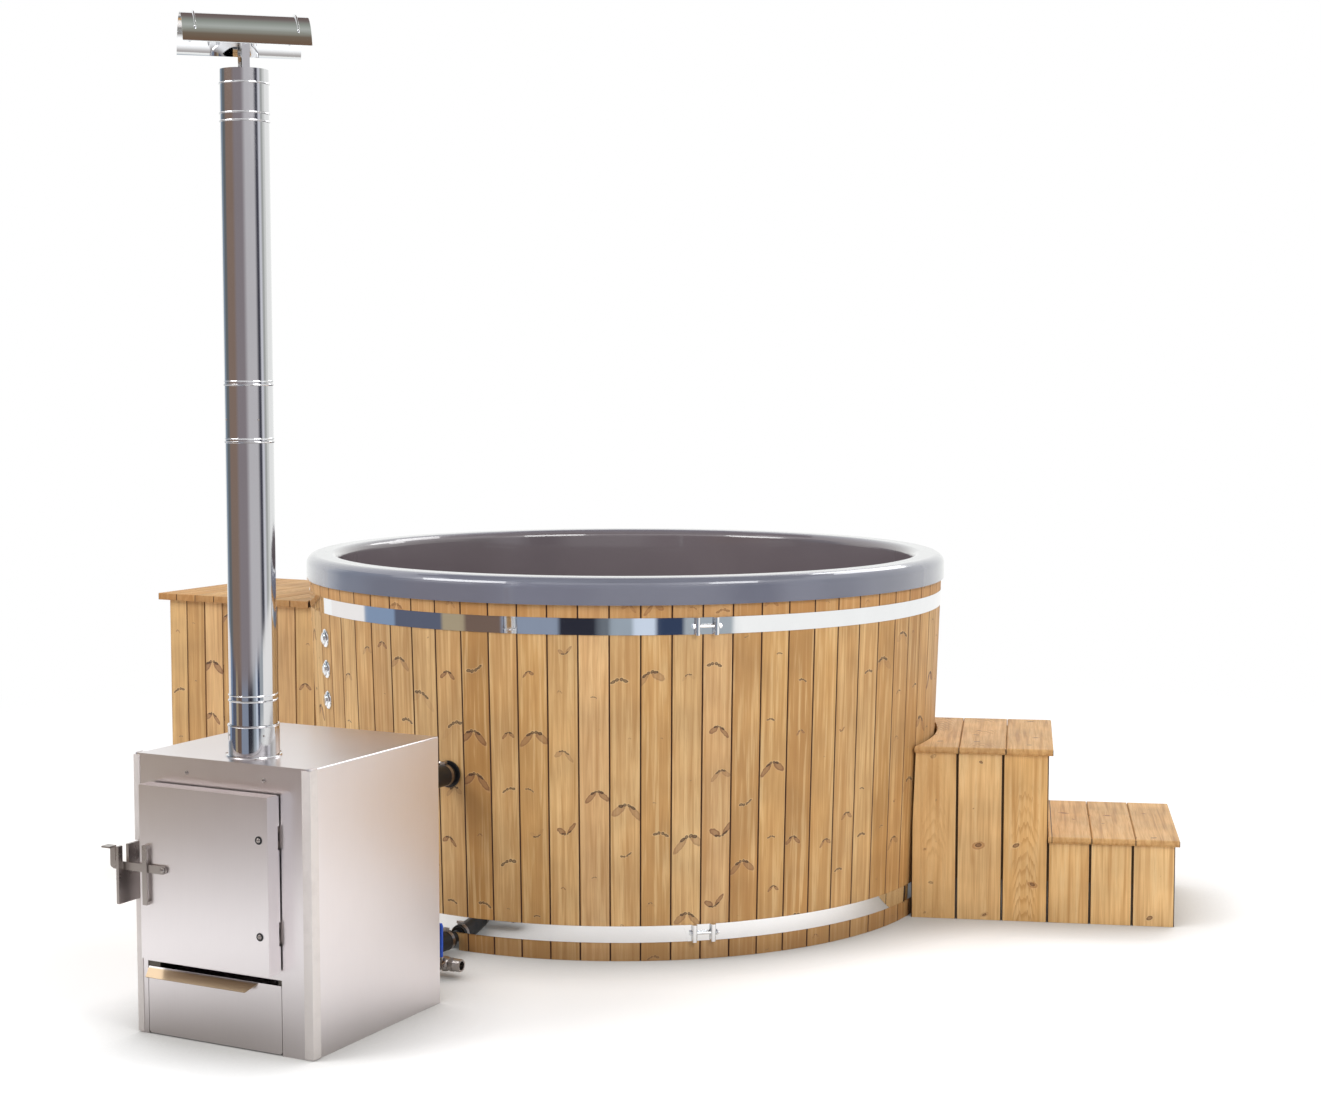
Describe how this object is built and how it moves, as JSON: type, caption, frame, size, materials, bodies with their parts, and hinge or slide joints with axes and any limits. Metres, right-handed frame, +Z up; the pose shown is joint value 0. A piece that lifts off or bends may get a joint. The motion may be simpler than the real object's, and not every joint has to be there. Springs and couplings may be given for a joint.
{
  "type": "wood-fired hot tub",
  "caption": "Round staved hot tub with bench and footwell, outside wood-fired heater with fire door, ash drawer and capped chimney, filter cabinet with lid, and wooden steps.",
  "frame": {"origin": "the tub's axis on the ground", "axes": "+Z up; -Y from the tub to the heater, whose fire door faces -Y; -X towards the filter cabinet and +X towards the steps"},
  "size_m": [3.222, 3.0738, 2.4973],
  "materials": {
    "shell": "smooth gel coat",
    "stave_wood": "heat-treated softwood, oiled",
    "pale_wood": "planed pine, oiled",
    "frame_wood": "sawn softwood",
    "polished_steel": "polished stainless steel",
    "brushed_steel": "brushed stainless steel",
    "black_rubber": "smooth hose rubber",
    "fittings": "moulded pipe fittings",
    "firebox_steel": "heat-resisting black",
    "grate_iron": "as cast",
    "seal_rope": "woven rope",
    "blue_grip": "dipped sleeve",
    "hinge_black": "black",
    "tank": "moulded vessel",
    "pump": "painted",
    "pipe_white": "rigid pipe"
  },
  "bodies": {
    "tub": {"tub_shell": "shell", "staves": "stave_wood", "stave_rings": "frame_wood", "base_frame": "frame_wood", "upper_hoop": "polished_steel", "lower_hoop": "polished_steel", "hoop_lugs": "polished_steel", "hoop_bolts": "polished_steel", "drain_grate": "polished_steel", "drain_pipe": "fittings", "air_jets": "polished_steel", "button_bezels": "polished_steel", "supply_fitting": "fittings", "upper_hose": "black_rubber", "lower_hose": "black_rubber", "hose_clamps": "polished_steel", "drain_tee": "fittings", "valve_body": "polished_steel", "furnace_casing": "brushed_steel", "front_panel": "brushed_steel", "casing_screws": "polished_steel", "firebox": "firebox_steel", "fire_grate": "grate_iron", "furnace_stubs": "brushed_steel", "flue_collar": "polished_steel", "hinge_brackets": "brushed_steel", "hinge_pins": "polished_steel", "keeper": "brushed_steel", "chimney_lower": "polished_steel", "chimney_upper": "polished_steel", "cowl_bracket": "polished_steel", "cowl_roof": "polished_steel", "cowl_rods": "polished_steel", "cabinet_frame": "frame_wood", "cabinet_boards": "stave_wood", "hinge_leaves": "hinge_black", "filter_tank": "tank", "pump": "pump", "pipework": "pipe_white", "step_frame": "frame_wood", "step_boards": "pale_wood", "step_treads": "pale_wood"},
    "door": {"door_shell": "brushed_steel", "door_liner": "firebox_steel", "door_seal": "seal_rope", "door_bolts": "polished_steel", "door_knuckles": "brushed_steel", "latch_guide": "brushed_steel", "latch_pivot": "polished_steel"},
    "latch": {"latch_bar": "brushed_steel"},
    "ash_drawer": {"ash_drawer": "brushed_steel"},
    "cabinet_lid": {"cabinet_lid": "pale_wood", "lid_straps": "hinge_black"},
    "valve_lever": {"valve_lever": "polished_steel", "lever_grip": "blue_grip"},
    "button_top": {"button_top": "polished_steel"},
    "button_middle": {"button_middle": "polished_steel"},
    "button_bottom": {"button_bottom": "polished_steel"}
  },
  "joints": [
    {"name": "door_hinge", "type": "hinge", "parent": "tub", "child": "door", "pos_m": [0.123, -1.9985, 0.4165], "axis": [0, 0, 1], "range_deg": [0, 90]},
    {"name": "latch_pivot", "type": "hinge", "parent": "door", "child": "latch", "pos_m": [-0.182, -2.0435, 0.432], "axis": [0, 1, 0], "range_deg": [0, 30]},
    {"name": "ash_drawer_slide", "type": "slide", "parent": "tub", "child": "ash_drawer", "axis": [0, -1, 0], "range_m": [0, 0.3]},
    {"name": "cabinet_lid_hinge", "type": "hinge", "parent": "tub", "child": "cabinet_lid", "pos_m": [-1.464, -0.2025, 0.889], "axis": [0, -1, 0], "range_deg": [0, 95]},
    {"name": "valve_lever_turn", "type": "hinge", "parent": "tub", "child": "valve_lever", "pos_m": [0.092, -1.245, 0.036], "axis": [0, 1, 0], "range_deg": [0, 90]},
    {"name": "button_bottom_press", "type": "slide", "parent": "tub", "child": "button_bottom", "axis": [0.6015, 0.7982, 0.033], "range_m": [0, 0.004], "stiffness_N_per_m": 900},
    {"name": "button_middle_press", "type": "slide", "parent": "tub", "child": "button_middle", "axis": [0.6015, 0.7982, 0.033], "range_m": [0, 0.004], "stiffness_N_per_m": 900},
    {"name": "button_top_press", "type": "slide", "parent": "tub", "child": "button_top", "axis": [0.6015, 0.7982, 0.033], "range_m": [0, 0.004], "stiffness_N_per_m": 900}
  ]
}
